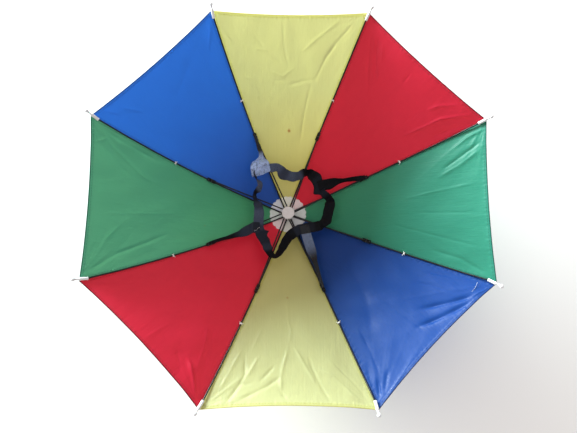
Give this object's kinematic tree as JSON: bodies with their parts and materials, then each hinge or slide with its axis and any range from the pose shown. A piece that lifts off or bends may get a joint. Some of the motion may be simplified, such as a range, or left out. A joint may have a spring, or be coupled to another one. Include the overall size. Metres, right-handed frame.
{
  "type": "umbrella hat",
  "caption": "Umbrella hat: shallow cloth canopy in coloured gores on wire ribs and stretchers, with an elastic head band on tethers, lying upside down.",
  "frame": {"origin": "middle of the crown cap's flat face, on the surface that the upturned hat lies on", "axes": "+Z from the crown cap into the open side, along the hat's own axis; +X and +Y level, each through the middle of a gore"},
  "size_m": [0.6008, 0.6018, 0.141],
  "materials": {
    "nylon_red": "thin satin nylon",
    "nylon_yellow": "thin satin nylon",
    "nylon_blue": "thin satin nylon",
    "nylon_green": "thin satin nylon",
    "frame_wire": "black enamel on steel wire",
    "white_plastic": "moulded white plastic",
    "rosette_film": "thin cloudy white film",
    "black_elastic": "woven black elastic",
    "grey_tape": "sheer grey satin tape"
  },
  "bodies": {
    "root": {"panel_red_1": "nylon_red", "panel_yellow_1": "nylon_yellow", "panel_blue_1": "nylon_blue", "panel_green_1": "nylon_green", "panel_red_2": "nylon_red", "panel_yellow_2": "nylon_yellow", "panel_blue_2": "nylon_blue", "panel_green_2": "nylon_green", "rib_1": "frame_wire", "rib_2": "frame_wire", "rib_3": "frame_wire", "rib_4": "frame_wire", "rib_5": "frame_wire", "rib_6": "frame_wire", "rib_7": "frame_wire", "rib_8": "frame_wire", "stretcher_1": "frame_wire", "stretcher_2": "frame_wire", "stretcher_3": "frame_wire", "stretcher_4": "frame_wire", "stretcher_5": "frame_wire", "stretcher_6": "frame_wire", "stretcher_7": "frame_wire", "stretcher_8": "frame_wire", "rib_joint_1": "frame_wire", "rib_joint_2": "frame_wire", "rib_joint_3": "frame_wire", "rib_joint_4": "frame_wire", "rib_joint_5": "frame_wire", "rib_joint_6": "frame_wire", "rib_joint_7": "frame_wire", "rib_joint_8": "frame_wire", "rib_tip_1": "white_plastic", "rib_tip_2": "white_plastic", "rib_tip_3": "white_plastic", "rib_tip_4": "white_plastic", "rib_tip_5": "white_plastic", "rib_tip_6": "white_plastic", "rib_tip_7": "white_plastic", "rib_tip_8": "white_plastic", "crown_cap": "white_plastic", "centre_post": "white_plastic", "rib_notch": "white_plastic", "runner": "white_plastic", "rosette": "rosette_film", "head_band": "black_elastic", "tether_1": "black_elastic", "tether_2": "grey_tape", "tether_3": "black_elastic", "tether_4": "grey_tape"}
  },
  "joints": []
}
